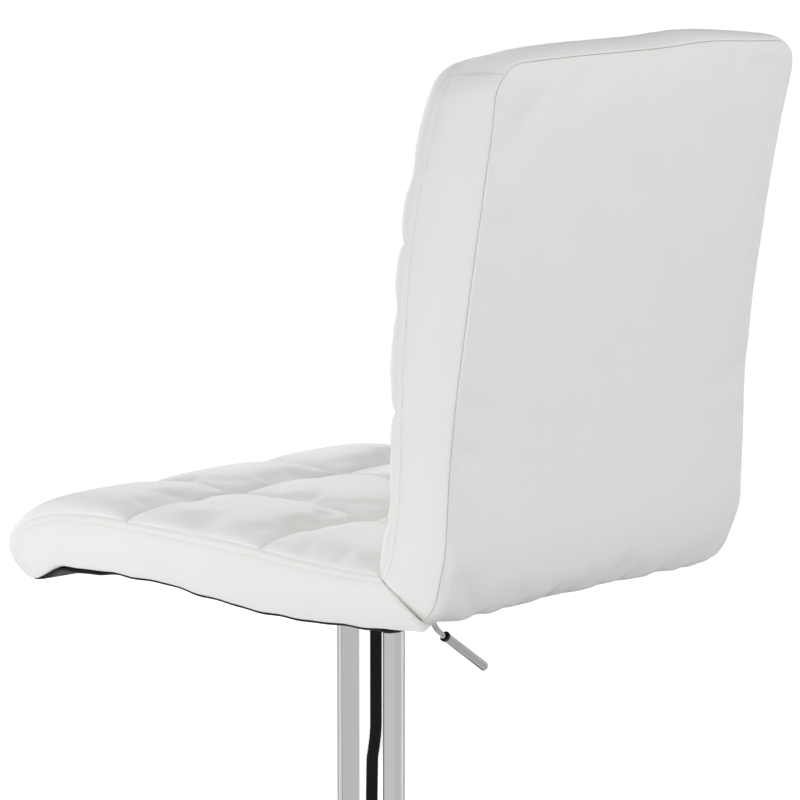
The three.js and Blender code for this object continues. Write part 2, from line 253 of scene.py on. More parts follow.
def resampled(values, old, new):
    # an array whose first axis is at the old stations, carried over to new stations
    columns = np.reshape(values, (len(old), -1)).T
    return np.stack([np.interp(new, old, c) for c in columns], -1).reshape(len(new), *values.shape[1:])


def resampledGrid(grid, oldU, oldV, newU, newV):
    return resampled(resampled(grid.swapaxes(0, 1), oldU, newU).swapaxes(0, 1), oldV, newV)


def turnedPiece(name, profile, material, sides, bend=None):
    # a solid of revolution about Z from [radius, height], closed on itself or ended on the axis
    profile = np.asarray(profile, float)
    points, faces, rings = [], [], []
    for r, z in profile:
        turns = [2 * math.pi * k / sides for k in range(sides if r > 1e-6 else 1)]
        rings.append(range(len(points), len(points) + len(turns)))
        points += [(r * math.cos(turn), r * math.sin(turn), z) for turn in turns]
    pairs = [(k, k + 1) for k in range(len(rings) - 1)]
    if profile[0][0] > 1e-6 and profile[-1][0] > 1e-6:
        pairs.append((len(rings) - 1, 0))
    for i, j in pairs:
        a, b = rings[i], rings[j]
        for k in range(sides):
            n = (k + 1) % sides
            corners = (a[k % len(a)], a[n % len(a)], b[n % len(b)], b[k % len(b)])
            if len(set(corners)) > 2:
                faces.append(tuple(dict.fromkeys(corners)))
    points = bend(np.array(points)) if bend else points
    piece = meshObject(name, points, faces, material, sharpDegrees=35)
    faceOutwards(piece)
    return piece


def faceOutwards(piece):
    work = bmesh.new()
    work.from_mesh(piece.data)
    bmesh.ops.remove_doubles(work, verts=work.verts, dist=1e-7)
    bmesh.ops.recalc_face_normals(work, faces=work.faces)
    work.to_mesh(piece.data)
    work.free()


def roundedProfile(points, radius, steps=5):
    # rounds the corners of a closed [radius, height] outline; points on the axis stay sharp
    p = np.asarray(points, float)
    rounded = []
    for before, here, after in zip(np.roll(p, 1, 0), p, np.roll(p, -1, 0)):
        if here[0] < 1e-6:
            rounded.append(here)
            continue
        toBefore, toAfter = before - here, after - here
        cut = min(radius, np.linalg.norm(toBefore) * 0.45, np.linalg.norm(toAfter) * 0.45)
        a = here + toBefore / np.linalg.norm(toBefore) * cut
        b = here + toAfter / np.linalg.norm(toAfter) * cut
        for t in np.linspace(0, 1, steps):
            rounded.append((1 - t) ** 2 * a + 2 * t * (1 - t) * here + t ** 2 * b)
    return rounded


cameraSetup = {"azimuth": 129.0, "elevation": 8.01, "lens": 211.5, "distance": 3.6,
               "target": (0.118, 0.126, 0.719)}


def makeCamera(setup):
    data = bpy.data.cameras.new("camera")
    data.lens = setup["lens"]
    data.sensor_width = 36
    data.clip_end = 200
    camera = bpy.data.objects.new("camera", data)
    a, e = math.radians(setup["azimuth"]), math.radians(setup["elevation"])
    back = Vector((math.sin(a) * math.cos(e), -math.cos(a) * math.cos(e), math.sin(e)))
    camera.location = Vector(setup["target"]) + back * setup["distance"]
    camera.rotation_mode = "QUATERNION"
    camera.rotation_quaternion = (-back).to_track_quat("-Z", "Y")
    scene.collection.objects.link(camera)
    scene.camera = camera


makeCamera(cameraSetup)


insetSteps = [0.006, 0.02, 0.045, *np.arange(0.08, 0.921, 0.04), 0.955, 0.98, 0.994]


def cellSteps(edges, inner):
    # stations between the seams, closer together beside each seam
    steps = [edges[0]]
    for low, high in zip(edges, edges[1:]):
        steps += [low + (high - low) * w for w in inner] + [high]
    return np.array(steps)


def cellPlace(value, edges):
    # position within its cell, from -1 at one seam to 1 at the next
    edges = np.asarray(edges, float)
    cell = np.clip(np.searchsorted(edges, value, side="right") - 1, 0, len(edges) - 2)
    low, high = edges[cell], edges[cell + 1]
    return np.clip(2 * (value - low) / (high - low) - 1, -1, 1)


def quiltHeight(across, along, acrossEdges, alongEdges, quilt):
    # padding between sewn lines: steep beside a seam, broad on top, lowest where seams cross
    a, b = cellPlace(across, acrossEdges), cellPlace(along, alongEdges)
    body = ((1 - np.abs(a) ** quilt["flat"]) * (1 - np.abs(b) ** quilt["flat"])) ** quilt["steep"]
    ride = 1 - (a * b) ** 2
    edgeA = np.abs(cellPlace(across, [acrossEdges[0], acrossEdges[-1]]))
    edgeB = np.abs(cellPlace(along, [alongEdges[0], alongEdges[-1]]))
    inside = ((1 - edgeA ** quilt["rim"]) * (1 - edgeB ** quilt["rim"])) ** 0.5
    # small gathers run out of each sewn line
    gathers = 0
    for value, edges, other in ((a, acrossEdges, along), (b, alongEdges, across)):
        width = (edges[-1] - edges[0]) / (len(edges) - 1) / 2
        near = np.exp(-(1 - np.abs(value)) * width / quilt["gatherReach"]) * (1 - np.abs(value) ** 40)
        wave = np.sin(other / 2.9 + 4 * np.round(value)) + 0.8 * np.sin(other / 4.3 + 1.7)
        gathers = gathers + quilt["gather"] * near * wave
        gathers = gathers - quilt["pinch"] * np.exp(-(1 - np.abs(value)) * width / 2.0)
    return quilt["puff"] * body + inside * (quilt["lift"] + quilt["ride"] * ride) + gathers


def roundCorners(x, y, halfX, low, high, radius, which):
    # bends the square corners of a grid into arcs, at its low or its high end
    dx = np.clip((np.abs(x) - (halfX - radius)) / radius, 0, None)
    past = y - (high - radius) if which == "high" else low + radius - y
    dy = np.clip(past / radius, 0, None)
    both = (dx > 0) & (dy > 0)
    newX = (halfX - radius) + radius * dx * np.sqrt(1 - dy ** 2 / 2)
    newY = radius * dy * np.sqrt(1 - dx ** 2 / 2)
    ends = high - radius + newY if which == "high" else low + radius - newY
    return np.where(both, np.sign(x) * newX, x), np.where(both, ends, y)


def gridFaces(rows, columns, keep=lambda i, j: True):
    corners = [i * columns + j for i in range(rows - 1) for j in range(columns - 1) if keep(i, j)]
    return [(k, k + 1, k + columns + 1, k + columns) for k in corners]


def borderLoop(rows, columns):
    # indices round a grid's border: up the last column, along the last row and back
    loop = [(i, columns - 1) for i in range(rows)]
    loop += [(rows - 1, j) for j in range(columns - 2, -1, -1)]
    loop += [(i, 0) for i in range(rows - 2, -1, -1)]
    loop += [(0, j) for j in range(1, columns - 1)]
    return loop


def closedCover(name, face, back, bandRows, material):
    # a closed cover: a face grid, a back grid of the same size and rows of band between their borders
    rows, columns = face.shape[:2]
    count = rows * columns
    points = [*face.reshape(-1, 3), *back.reshape(-1, 3)]
    faces = gridFaces(rows, columns)
    faces += [(count + a, count + d, count + c, count + b) for a, b, c, d in faces]
    loop = [i * columns + j for i, j in borderLoop(rows, columns)]
    rings = [loop]
    for row in bandRows:
        rings.append(list(range(len(points), len(points) + len(row))))
        points += [*row]
    rings.append([count + k for k in loop])
    for first, second in zip(rings, rings[1:]):
        for k in range(len(loop)):
            n = (k + 1) % len(loop)
            faces.append((first[k], first[n], second[n], second[k]))
    piece = meshObject(name, points, faces, material)
    faceOutwards(piece)
    return piece


def loopNormals(flat):
    # outward normals of a closed loop in its own plane
    step = np.roll(flat, -1, 0) - np.roll(flat, 1, 0)
    normal = np.stack([step[:, 1], -step[:, 0]], 1)
    normal /= np.linalg.norm(normal, axis=1, keepdims=True) + 1e-9
    area = np.sum(flat[:, 0] * np.roll(flat[:, 1], -1) - np.roll(flat[:, 0], -1) * flat[:, 1])
    return normal * (1 if area > 0 else -1)


clothSettings = {
    "pressure": 4.0, "frames": 20, "growth": -0.035, "cells": 16,
    "fabric": {"quality": 6, "mass": 0.25, "tension_stiffness": 18, "compression_stiffness": 18,
               "shear_stiffness": 6, "bending_stiffness": 1.2},
}


def simulatedShift(grid, sewn, toward, cap):
    # cloth held at its sewn points and blown up a little: how far each point of the grid moves
    rows, columns = grid.shape[:2]
    faces = gridFaces(rows, columns)
    i, j = rows // 2, columns // 2
    if np.dot(toward, np.cross(grid[i, j + 1] - grid[i, j], grid[i + 1, j] - grid[i, j])) < 0:
        faces = [face[::-1] for face in faces]
    cloth = meshObject("clothTrial", grid.reshape(-1, 3), faces, whiteLeather)
    group = cloth.vertex_groups.new(name="sewn")
    group.add([int(k) for k in np.flatnonzero(sewn.reshape(-1))], 1.0, "REPLACE")
    step = cloth.modifiers.new("cloth", "CLOTH")
    settings = step.settings
    for key, value in clothSettings["fabric"].items():
        setattr(settings, key, value)
    settings.vertex_group_mass = "sewn"
    settings.use_pressure = True
    settings.uniform_pressure_force = clothSettings["pressure"]
    settings.shrink_min = settings.shrink_max = clothSettings["growth"]
    settings.effector_weights.gravity = 0
    step.collision_settings.use_collision = False
    step.collision_settings.use_self_collision = False
    step.point_cache.frame_end = clothSettings["frames"] + 5
    for number in range(1, clothSettings["frames"] + 1):
        scene.frame_set(number)
    shape = cloth.evaluated_get(bpy.context.evaluated_depsgraph_get()).data
    flat = np.empty(len(shape.vertices) * 3)
    shape.vertices.foreach_get("co", flat)
    moved = flat.reshape(rows, columns, 3) / mm - grid
    size = np.linalg.norm(moved, axis=-1, keepdims=True)
    moved *= np.minimum(1, cap / np.maximum(size, 1e-9))
    moved[sewn] = 0
    mesh = cloth.data
    bpy.data.objects.remove(cloth)
    bpy.data.meshes.remove(mesh)
    scene.frame_set(1)
    return moved


def clothOver(makeGrid, us, vs, edgesU, edgesV, toward, cap):
    # the made grid with the simulated cloth's shift added
    fine = makeGrid(us, vs)
    inner = np.arange(1, clothSettings["cells"]) / clothSettings["cells"]
    coarseU, coarseV = cellSteps(edgesU, inner), cellSteps(edgesV, inner)
    sewn = np.isin(coarseV, edgesV)[:, None] | np.isin(coarseU, edgesU)[None, :]
    shift = simulatedShift(makeGrid(coarseU, coarseV), sewn, toward, cap)
    return fine + resampledGrid(shift, coarseU, coarseV, us, vs)


seat = {
    "halfWidth": 200.0, "columns": [-200, -66, 66, 200], "rows": [-84.0, 54.0],
    "corner": 50.0, "rear": 172.0,
    # the sewn edge seen from the side, front to rear
    "seam": [[-236, 587], [-222, 588.7], [-199, 599], [-186, 604.7], [-167, 609.8], [-143, 612.9],
             [-114, 614.3], [-83, 613], [-37, 611.2], [8, 609.5], [54, 606], [94, 602], [134, 599.5],
             [172, 598.3]],
    # the band's lower edge, front to rear; it ends behind the seam so that the end slants
    "hem": [[-191, 555], [-182, 556.5], [-172, 564], [-160, 568], [-141, 568.7], [-109, 569.4],
            [-88, 568.4], [-70, 568.6], [-43, 566.8], [-5, 562.0], [29, 558.4], [66, 555.6],
            [106, 555.4], [165, 556.8], [191, 557.8], [212, 559.5]],
    "lip": 554.0,
    "cap": 3.2,
    "quilt": {"puff": 6.0, "flat": 2.8, "steep": 0.5, "lift": 3.2, "ride": 2.0, "rim": 18,
              "gather": 0.2, "gatherReach": 10.0, "pinch": 1.3},
    "bandRows": [0.02, 0.05, 0.09, 0.13, 0.18, 0.26, 0.36, 0.48, 0.6, 0.72, 0.83, 0.92, 0.975],
    "groove": 1.9, "stitchAt": 0.13, "swell": 5.0, "frontSwell": 10.5, "tuck": 5.0, "frontTuck": 21.0,
    # how far the band's end slants to the rear, across the width
    "slant": ([-200, -150, 150, 180, 200], [25, 22, 22, 32, 40]),
    # folds where the side seam runs into the crease: height, pitch and reach
    "fold": (2.4, 1.5, 13),
    "underInset": 9, "lipRise": 2.5,
}
# how the stitches pinch and pucker a band: amount and reach
band = {"pinch": (0.35, 0.03), "pucker": (0.36, 0.12), "fullness": 0.65}


def hemWave(y):
    return 0.45 * np.sin(y / 9.1) + 0.3 * np.sin(y / 5.3 + 1)


def bandProfile(top, lower, outward, reach, row):
    # rows of a padded band from its sewn edge to its far edge, swelling square to its own slope
    chord = lower - top
    chord /= np.linalg.norm(chord, axis=1, keepdims=True)
    square = outward - chord * np.sum(outward * chord, axis=1, keepdims=True)
    square /= np.linalg.norm(square, axis=1, keepdims=True)
    made = []
    length = np.r_[0, np.cumsum(np.linalg.norm(np.diff(top, axis=0), axis=1))][:, None]
    for t in row["bandRows"]:
        pinch, pucker = (amount * math.exp(-((t - row["stitchAt"]) / near) ** 2)
                         for amount, near in (band["pinch"], band["pucker"]))
        wave = pucker * (np.sin(length / 2.9) + np.sin(length / 4.1 + 1)) - pinch * row["groove"]
        full = reach[:, None] * math.sin(math.pi * t) ** band["fullness"]
        made.append(top + (lower - top) * t + square * (full + wave))
    return made


def makeSeatCover():
    seam = evenLine(seat["seam"], 400)
    hem = evenLine(seat["hem"], 400)
    front = seam[0, 0]
    edgesV = [front, *seat["rows"], seat["rear"]]
    xs, ys = cellSteps(seat["columns"], insetSteps), cellSteps(edgesV, insetSteps)

    def topGrid(us, vs):
        x, y = np.meshgrid(us, vs)
        base = np.interp(y, seam[:, 0], seam[:, 1])
        z = base + quiltHeight(x, y, seat["columns"], edgesV, seat["quilt"])
        height, pitch, near = seat["fold"]
        inX, inY = seat["halfWidth"] - np.abs(x), seat["rear"] - y
        fade = np.exp(-(inX / near) ** 2 - (inY / near) ** 2) * (inX / 6).clip(0, 1)
        z = z + height * np.sin(inX / pitch) * fade
        x, y = roundCorners(x, y, seat["halfWidth"], front, seat["rear"], seat["corner"], "low")
        return np.stack([x, y, z], -1)

    face = clothOver(topGrid, xs, ys, seat["columns"], edgesV, (0, 0, 1), seat["cap"])
    loop = borderLoop(len(ys), len(xs))
    top = np.array([face[i, j] for i, j in loop])
    top[:, 2] = np.interp(top[:, 1], seam[:, 0], seam[:, 1])
    for k, (i, j) in enumerate(loop):
        face[i, j] = top[k]
    atRear = np.array([i == len(ys) - 1 for i, _ in loop])
    onSide = np.array([j in (0, len(xs) - 1) and ys[i] > front + seat["corner"] for i, j in loop])
    normal = loopNormals(top[:, :2])
    normal[atRear] = (0, 1)
    normal[onSide] = np.stack([np.sign(top[onSide, 0]), 0 * top[onSide, 0]], 1)
    toFront = np.clip(-normal[:, 1], 0, 1) ** 1.5
    tuck = seat["tuck"] + (seat["frontTuck"] - seat["tuck"]) * toFront
    tuck[atRear & ~onSide] = 0
    farEnd = np.interp(top[:, 0], *seat["slant"])
    slant = np.interp(top[:, 1], [front, -100, seat["rear"]], [0, 0, 1]) * farEnd
    lowerX = top[:, 0] - normal[:, 0] * tuck
    lowerX[atRear] = top[atRear, 0] * (1 - seat["tuck"] / seat["halfWidth"])
    lowerY = top[:, 1] + slant - normal[:, 1] * tuck
    lowerZ = np.interp(lowerY, hem[:, 0], hem[:, 1]) + hemWave(lowerY)
    lip = seat["lip"] + seat["lipRise"]
    lowerZ = lowerZ * (1 - toFront) + lip * toFront
    # the rear end tucks up under the back, apart from one lower corner
    tucked = np.interp(top[:, 0], [-200, 150, 185, 200], [1, 1, 0.2, 0])
    lowerZ += np.interp(lowerY, [150, 195], [0, 6]) * tucked
    lower = np.stack([lowerX, lowerY, lowerZ], 1)
    outward = np.c_[normal, np.zeros(len(normal))]
    reach = seat["swell"] + (seat["frontSwell"] - seat["swell"]) * toFront
    reach = reach * np.interp(top[:, 1], [0, seat["rear"] - 45, seat["rear"]], [1, 1, 0.5])
    reach[atRear & ~onSide] = 0.3
    rows = bandProfile(top, lower, outward, reach, seat)
    for k, (i, j) in enumerate(loop):
        face[i, j] -= outward[k] * seat["groove"] * (0.25 if atRear[k] else 1)
    underX = face[..., 0] * (1 - seat["underInset"] / seat["halfWidth"])
    underY = np.interp(np.meshgrid(xs, ys)[1], [front, seat["rear"]], [front + 22, 192])
    underZ = np.maximum(np.interp(underY, hem[:, 0], hem[:, 1]), lip) + 3
    under = np.stack([underX, underY, underZ], -1)
    for k, (i, j) in enumerate(loop):
        under[i, j] = lower[k]
    sewn = ~atRear | onSide
    stitchRow = rows[seat["bandRows"].index(seat["stitchAt"])]
    return closedCover("seatCover", face, under, rows, whiteLeather), (stitchRow[sewn], outward[sewn])


back = {
    "halfWidth": 199.5, "columns": [-199.5, -66, 66, 199.5], "rows": [723.0, 849.5],
    "corner": 24.0, "rearCorner": 25.0, "rearHalf": 187.0,
    # the front sewn edge from the side, lowest first
    "frontSeam": [[172, 598.3], [178, 611], [182, 627], [186.5, 658], [188, 703], [189, 733], [190, 763],
                  [192, 793], [194, 823], [197, 850], [203, 883], [208, 902], [214.6, 925], [220, 942],
                  [226, 960], [234, 983]],
    # the rear sewn edge from the side, lowest first
    "rearSeam": [[205, 566], [210, 569.5], [215, 576], [219, 584], [223.5, 599], [227.5, 614],
                 [229.5, 630], [231, 660], [232.5, 690], [234.5, 720], [242, 782], [251.5, 841],
                 [256.5, 871], [262, 900], [268.3, 930], [274, 960], [279, 986]],
    # how much wider the rear edge is than its half width, by height
    "rearSpread": [[566, 0], [600, 3.5], [630, 4], [670, 3.5], [720, 1], [780, -1.5], [880, -1.5],
                   [930, 1], [965, 4]],
    "frontCrown": (8.5, 11.0), "rearCrown": (2.0, 3.0),
    "cap": 7.0,
    "quilt": {"puff": 6.8, "flat": 2.8, "steep": 0.5, "lift": 8.8, "ride": 2.5, "rim": 26,
              "gather": 0.2, "gatherReach": 10.0, "pinch": 1.3},
    "bandRows": [0.02, 0.06, 0.11, 0.17, 0.26, 0.38, 0.5, 0.62, 0.74, 0.85, 0.94, 0.98],
    "groove": 1.9, "stitchAt": 0.11, "swell": 3.5, "topSwell": 6.5,
    # the hump in the top edge: height, place and half width; folds by its corners: depth, reach, pitch
    "hump": (2.5, -70, 45), "cornerFold": (2.6, 42, 4.6),
}


def backGrid(line, halfWidth, us, fractions, corner, crown, spreadBy=None):
    # positions of a sheet that follows a side line, with its top corners rounded and its top crowned
    x, f = np.meshgrid(us * halfWidth / back["halfWidth"], fractions)
    length = np.sum(np.linalg.norm(np.diff(line, axis=0), axis=1))
    up = f * length
    x, up = roundCorners(x, up, halfWidth, 0, length, corner, "high")
    point = alongLine(line, up / length)
    nearTop = np.clip((up - 0.7 * length) / (0.3 * length), 0, 1) ** 2
    height, place, wide = back["hump"]
    rise = crown[0] - crown[1] * np.abs(x / halfWidth) ** 4 + height * np.exp(-((x - place) / wide) ** 2)
    if spreadBy is not None:
        x = x * (1 + np.interp(point[..., 1], *np.array(spreadBy).T) / halfWidth)
    return np.stack([x, point[..., 0], point[..., 1] + nearTop * rise], -1)


def sideNormals(grid, sign):
    # normals that lie in the side view, so that rounded corners don't upset them
    step = np.gradient(grid[:, grid.shape[1] // 2, 1:], axis=0)
    normal = np.stack([0 * step[:, 0], step[:, 1], -step[:, 0]], 1) * sign
    normal /= np.linalg.norm(normal, axis=1, keepdims=True)
    return normal[:, None, :] * np.ones((1, grid.shape[1], 1))


def makeBackCover():
    frontLine = evenLine(back["frontSeam"], 400)
    rearLine = evenLine(back["rearSeam"], 400)
    edgesV = [0, *np.interp(back["rows"], frontLine[:, 1], np.linspace(0, 1, len(frontLine))), 1]
    xs, fractions = cellSteps(back["columns"], insetSteps), cellSteps(edgesV, insetSteps)
    height = np.sum(np.linalg.norm(np.diff(frontLine, axis=0), axis=1))

    def frontGrid(us, vs):
        grid = backGrid(frontLine, back["halfWidth"], us, vs, back["corner"], back["frontCrown"])
        u, v = np.meshgrid(us, vs)
        puff = quiltHeight(u, v * height, back["columns"], [e * height for e in edgesV], back["quilt"])
        return grid + sideNormals(grid, -1) * puff[..., None]

    face = clothOver(frontGrid, xs, fractions, back["columns"], edgesV, (0, -1, 0), back["cap"])
    rear = backGrid(rearLine, back["rearHalf"], xs, fractions, back["rearCorner"], back["rearCrown"],
                    back["rearSpread"])
    edge = backGrid(frontLine, back["halfWidth"], xs, fractions, back["corner"], back["frontCrown"])
    loop = borderLoop(len(fractions), len(xs))
    top = np.array([edge[i, j] for i, j in loop])
    low = np.array([rear[i, j] for i, j in loop])
    flat = loopNormals(top[:, [0, 2]])
    outward = np.stack([flat[:, 0], np.zeros(len(flat)), flat[:, 1]], 1)
    atFoot = np.array([i == 0 for i, _ in loop])
    onSide = np.array([j in (0, len(xs) - 1) for _, j in loop])
    outward[atFoot & onSide] = np.stack([np.sign(top[atFoot & onSide, 0]), [0, 0], [0, 0]], 1)
    reach = back["swell"] + (back["topSwell"] - back["swell"]) * np.clip(flat[:, 1], 0, 1)
    reach = reach * np.interp(top[:, 2], [598, 640], [0.7, 1])
    reach[atFoot & ~onSide] = 0.3
    rows = bandProfile(top, low, outward, reach, back)
    # the side strips are sewn to the top strip where the corner turns
    depth, near, pitch = back["cornerFold"]
    for corner in [loop.index((len(fractions) - 1, j)) for j in (0, len(xs) - 1)]:
        for row in rows:
            row[corner] -= outward[corner] * 0.8 * back["groove"]
        # short folds in the top strip where it is gathered round the corner
        away = np.linalg.norm(top - top[corner], axis=1)
        onTop = (np.abs(top[:, 0]) < abs(top[corner, 0]) + 1) & (top[:, 2] > top[corner, 2] - 1)
        for t, row in zip(back["bandRows"], rows):
            fold = np.abs(np.sin(away / pitch + 3 * t)) * np.exp(-(away / near) ** 2) * onTop
            row -= outward * (depth * math.sin(math.pi * t) * fold)[:, None]
    sewn = ~atFoot | onSide
    for k, (i, j) in enumerate(loop):
        face[i, j] = edge[i, j] - outward[k] * back["groove"] * (1 if sewn[k] else 0.25)
        rear[i, j] -= outward[k] * 0.25 * back["groove"]
    inset = rear - sideNormals(rear, 1) * 4
    for i, j in loop:
        inset[i, j] = rear[i, j]
    stitchRow = rows[back["bandRows"].index(back["stitchAt"])]
    cover = closedCover("backCover", face, inset, rows, whiteLeather)
    return cover, (stitchRow[sewn], outward[sewn]), rear


panel = {
    "dome": 5.0, "footDome": 8.5, "reach": 14.0, "drop": 5.5, "scallop": 1.9, "cap": 7.0,
    "cells": 48, "share": 0.6, "wall": 2.5,
    # where the lower edge is stapled up under the shell, across the width
    "staples": [-178, -140, -112, -58, -33, 12, 40, 96, 124, 166],
}


def makeBackPanel(rear):
    # the plain rear panel: sewn to the band all round, rolled under the shell and stapled at the foot
    columns = rear.shape[1]
    foot = rear[0]
    under = [np.stack([foot[:, 0], foot[:, 1] - panel["reach"] * t, foot[:, 2] - panel["drop"] * t], -1)
             for t in (1.0, 0.85, 0.7, 0.55, 0.4, 0.25, 0.1)]
    grid = np.concatenate([np.array(under), rear], 0)
    length = np.r_[0, np.cumsum(np.linalg.norm(np.diff(grid[:, columns // 2], axis=0), axis=1))]

    f = length / length[-1]
    up = f[:, None]
    across = np.clip(np.abs(grid[..., 0] / back["rearHalf"]), 0, 1)
    dome = ((1 - across ** 6) * (1 - np.abs(2 * up - 1) ** 14)).clip(0) ** 0.45
    tall = panel["dome"] + (panel["footDome"] - panel["dome"]) * np.exp(-((up - 0.1) / 0.16) ** 2)
    nearest = np.min(np.abs(grid[..., :1] - np.array(panel["staples"])), axis=-1)
    gather = np.exp(-nearest / 7.5) * np.exp(-((up - 0.02) / 0.06) ** 2)
    normal = sideNormals(grid, 1)
    outer = grid + normal * (tall * dome - panel["scallop"] * gather)[..., None]
    # the panel as cloth on an even grid, held at its sewn edge
    us = cellSteps(back["columns"], insetSteps)
    evenU, evenV = np.linspace(us[0], us[-1], panel["cells"]), np.linspace(0, 1, panel["cells"])
    sewn = np.ones((panel["cells"], panel["cells"]), bool)
    sewn[1:-1, 1:-1] = False
    shift = simulatedShift(resampledGrid(outer, us, f, evenU, evenV), sewn, (0, 1, 0), panel["cap"])
    outer = outer + panel["share"] * resampledGrid(shift, evenU, evenV, us, f)
    inner = grid - normal * panel["wall"]
    for i, j in borderLoop(*grid.shape[:2]):
        outer[i, j] = grid[i, j]
        inner[i, j] = grid[i, j] - normal[i, j] * 0.4
    return closedCover("backPanelCover", outer, inner, [], whiteLeather)


lining = {
    "cut": (0.388, 0.397), "cutArea": 0.1157, "rise": 0.3, "thickness": 1.6, "hole": (100.0, 94.0),
    "half": 194.0, "front": -207.0, "rear": 186.0, "corner": 30,
    # lowest height by distance, how far the middle hangs, and the thickness folded over at its sides
    "floor": ([-207, -190, -178, -165, -140, 300], [555, 556, 558.5, 563.5, 560, 540]),
    "belly": ([-207, -150, -60, 60, 186], [1, 4, 2, 1, -3]),
    "folded": ([-207, -180, -165, -150, -118, -98], [0, 1, 2.6, 2.4, 2, 0]),
    "rearFold": (1.7, 175, 7),
}


def makeLining():
    # black cloth stapled under the seat, just inside the band's lower edge
    hem = evenLine(seat["hem"], 400)
    holeX, holeY = lining["hole"]
    half, front, rear = lining["half"], lining["front"], lining["rear"]
    ys = np.unique(np.r_[np.linspace(front, rear, 90), -holeY, holeY])
    xs = np.unique(np.r_[np.linspace(-half, half, 40), -holeX, holeX])
    x, y = np.meshgrid(xs, ys)
    cornerX, cornerY = roundCorners(x, y, half, front, rear, lining["corner"], "low")
    edge = np.interp(cornerY, hem[:, 0], hem[:, 1]) + hemWave(cornerY)
    edge = np.maximum(edge, np.interp(cornerY, *lining["floor"]))
    belly = np.clip(1 - np.abs(x / half) ** 6, 0, 1) * np.interp(y, *lining["belly"])
    depth, place, wide = lining["rearFold"]
    rearFold = depth * np.exp(-((cornerY - place) / wide) ** 4) * (x > 0)
    folded = np.interp(cornerY, *lining["folded"]) + rearFold
    z = edge + lining["rise"] - belly - folded * np.clip(np.abs(x) / half, 0, 1) ** 8
    points = np.stack([cornerX, cornerY, z], -1).reshape(-1, 3)
    outsideX, outsideY = (np.abs(v[1:] + v[:-1]) / 2 >= hole for v, hole in ((xs, holeX), (ys, holeY)))
    quads = gridFaces(len(ys), len(xs), lambda i, j: outsideX[j] or outsideY[i])
    sheet = meshObject("liningCloth", points, [(a, d, c, b) for a, b, c, d in quads], liningBlack)
    wall = sheet.modifiers.new("cloth", "SOLIDIFY")
    wall.thickness = lining["thickness"] * mm
    wall.offset = 1
    return sheet


seatCover, seatSewing = makeSeatCover()
backCover, backSewing, rearGrid = makeBackCover()
backPanel = makeBackPanel(rearGrid)
print("stage: quilted covers")
for piece in (seatCover, backCover, backPanel):
    smoothing = piece.modifiers.new("smooth", "SUBSURF")
    smoothing.levels = smoothing.render_levels = 1
liningSheet = makeLining()


def wireTree(name, inputs, step):
    # a Geometry Nodes tree with named number inputs, begun with a wire cut into even steps
    tree = bpy.data.node_groups.new(name, "GeometryNodeTree")
    tree.interface.new_socket("Geometry", in_out="INPUT", socket_type="NodeSocketGeometry")
    for label, value in inputs.items():
        socket = tree.interface.new_socket(label, in_out="INPUT", socket_type="NodeSocketFloat")
        socket.default_value = value
    tree.interface.new_socket("Geometry", in_out="OUTPUT", socket_type="NodeSocketGeometry")
    given = addNode(tree, "NodeGroupInput").outputs
    curve = addNode(tree, "GeometryNodeMeshToCurve", {0: given["Geometry"]}).outputs[0]
    cut = addNode(tree, "GeometryNodeResampleCurve", {"Curve": curve}, mode="LENGTH")
    tree.links.new(given[step], cut.inputs["Length"])
    return tree, given, cut.outputs[0]


def endTree(tree, geometry, material):
    real = addNode(tree, "GeometryNodeRealizeInstances", {0: geometry}).outputs[0]
    smooth = addNode(tree, "GeometryNodeSetShadeSmooth", {0: real}).outputs[0]
    painted = addNode(tree, "GeometryNodeSetMaterial", {0: smooth, "Material": material}).outputs[0]
    addNode(tree, "NodeGroupOutput", {0: painted})
    return tree


def stitchTree():
    # one thread stitch on every step of a wire, lying along it
    tree, given, steps = wireTree("stitchRow", {"Pitch": 0.004, "Length": 0.0026, "Thread": 0.0004}, "Pitch")
    tangent = addNode(tree, "GeometryNodeInputTangent").outputs[0]
    turn = addNode(tree, "FunctionNodeAlignRotationToVector", {"Vector": tangent}, axis="X").outputs[0]
    bead = addNode(tree, "GeometryNodeMeshUVSphere", {"Segments": 6, "Rings": 4, "Radius": 0.5}).outputs[0]
    size = addNode(tree, "ShaderNodeCombineXYZ", {"X": given["Length"], "Y": given["Thread"],
                                                  "Z": given["Thread"]}).outputs[0]
    placed = addNode(tree, "GeometryNodeInstanceOnPoints",
                     {"Points": steps, "Instance": bead, "Rotation": turn, "Scale": size}).outputs[0]
    return endTree(tree, placed, thread)


def barTree():
    # a round bar along a wire, evenly stepped, with closed ends
    tree, given, steps = wireTree("roundBar", {"Radius": 0.01, "Step": 0.004}, "Step")
    ring = addNode(tree, "GeometryNodeCurvePrimitiveCircle", {"Resolution": 40})
    tree.links.new(given["Radius"], ring.inputs["Radius"])
    bar = addNode(tree, "GeometryNodeCurveToMesh",
                  {"Curve": steps, "Profile Curve": ring.outputs[0], "Fill Caps": True}).outputs[0]
    return endTree(tree, bar, chrome)


